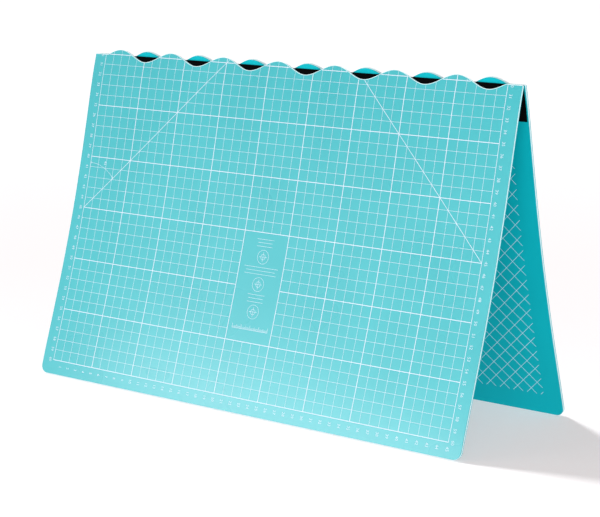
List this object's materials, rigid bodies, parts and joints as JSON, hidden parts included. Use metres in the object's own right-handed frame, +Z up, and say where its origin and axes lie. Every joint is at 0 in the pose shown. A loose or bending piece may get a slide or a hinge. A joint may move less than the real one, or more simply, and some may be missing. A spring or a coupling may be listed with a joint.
{
  "type": "folding cutting mat",
  "caption": "Folding cutting mat of laminated sheets joined along a wavy cut by a flexible tape hinge; it stands as a tent, lies open flat and folds shut.",
  "frame": {"origin": "on the table, under the middle of the fold line, with the mat standing on both foot edges", "axes": "+X along the fold, +Y from the front half to the back half, +Z up"},
  "size_m": [0.477, 0.1768, 0.3075],
  "materials": {
    "printed_face": "matt teal PVC skin with a pale printed centimetre grid",
    "core_sheet": "pale stiff core sheet, seen at the cut edges",
    "reverse_face": "matt teal PVC backing with a pale diagonal lattice",
    "hinge_tape": "black woven cloth tape"
  },
  "bodies": {
    "front_half": {"front_printed_face": "printed_face", "front_core": "core_sheet", "front_reverse_face": "reverse_face", "hinge_tape_front": "hinge_tape", "hinge_tape_fold": "hinge_tape"},
    "back_half": {"back_printed_face": "printed_face", "back_core": "core_sheet", "back_reverse_face": "reverse_face", "hinge_tape_back": "hinge_tape"}
  },
  "joints": [
    {"name": "fold", "type": "hinge", "parent": "front_half", "child": "back_half", "pos_m": [0, 0, 0.30161], "axis": [1, 0, 0], "range_deg": [-27, 148.5], "deforming": ["hinge_tape_fold"]}
  ]
}
